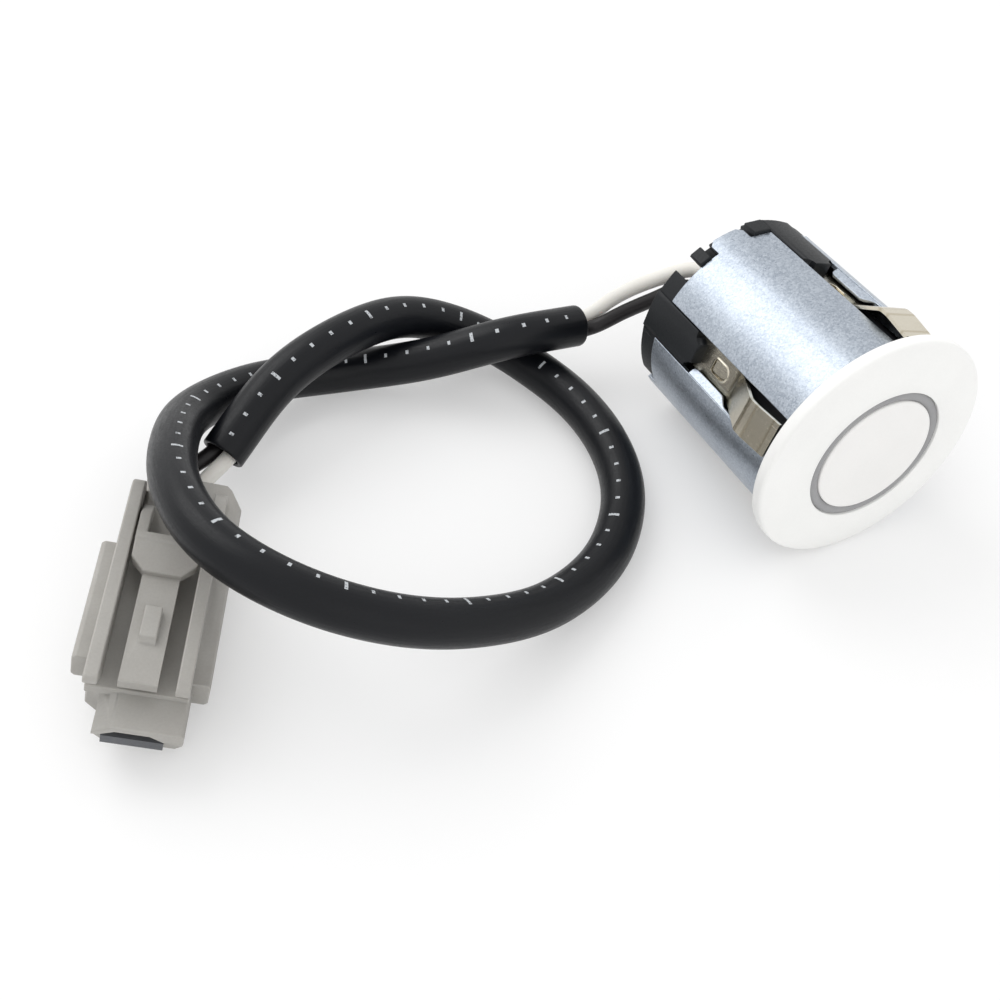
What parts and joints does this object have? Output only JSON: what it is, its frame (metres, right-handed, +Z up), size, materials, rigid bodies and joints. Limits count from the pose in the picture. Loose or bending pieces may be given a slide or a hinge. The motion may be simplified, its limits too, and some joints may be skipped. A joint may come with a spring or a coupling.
{
  "type": "parking sensor",
  "caption": "Ultrasonic parking sensor: a flanged round head in a slotted steel sleeve with spring clips, on a sleeved wire pigtail ending in a small latching connector.",
  "frame": {"origin": "on the floor, below the centre of the head's box as it lies at rest", "axes": "+Z up from the floor, the face of the head towards -Y and its rear towards +Y, +X to the right seen from in front of the face"},
  "size_m": [0.0871, 0.0439, 0.0252],
  "materials": {
    "housing_plastic": "moulded plastic, flange painted off-white",
    "grey_silicone": "matt grey silicone",
    "painted_cup": "aluminium cup, face painted off-white",
    "piezo_ceramic": "silvered ceramic disc",
    "felt": "soft felt",
    "board": "green laminate",
    "capacitor_can": "shrink-covered can",
    "copper_lead": "bare copper",
    "potting_resin": "smooth dark casting resin",
    "zinc_steel": "zinc-coated sheet with a fine grain",
    "spring_steel": "bright rolled spring strip",
    "black_plastic": "black moulded plastic",
    "black_pvc": "satin black PVC sleeve",
    "white_insulation": "cream white wire insulation",
    "black_insulation": "black wire insulation",
    "grey_nylon": "warm grey moulded nylon",
    "dark_nylon": "dark moulded nylon",
    "tinned_brass": "tin-plated contact",
    "seal_silicone": "soft silicone plug"
  },
  "bodies": {
    "root": {"front_housing": "housing_plastic", "decoupling_ring": "grey_silicone", "membrane_cup": "painted_cup", "piezo_disc": "piezo_ceramic", "absorber_felt": "felt", "terminal_board": "board", "capacitor": "capacitor_can", "piezo_lead_hot": "copper_lead", "piezo_lead_ground": "copper_lead", "potting": "potting_resin", "steel_sleeve": "zinc_steel", "spring_clip_1": "spring_steel", "spring_clip_2": "spring_steel", "spring_clip_3": "spring_steel", "spring_clip_4": "spring_steel", "rear_cap": "black_plastic", "pvc_sleeve": "black_pvc", "white_wire": "white_insulation", "black_wire": "black_insulation", "connector_housing": "grey_nylon", "terminal_lock": "dark_nylon", "terminal_white": "tinned_brass", "terminal_black": "tinned_brass", "wire_seal_white": "seal_silicone", "wire_seal_black": "seal_silicone"}
  },
  "joints": []
}
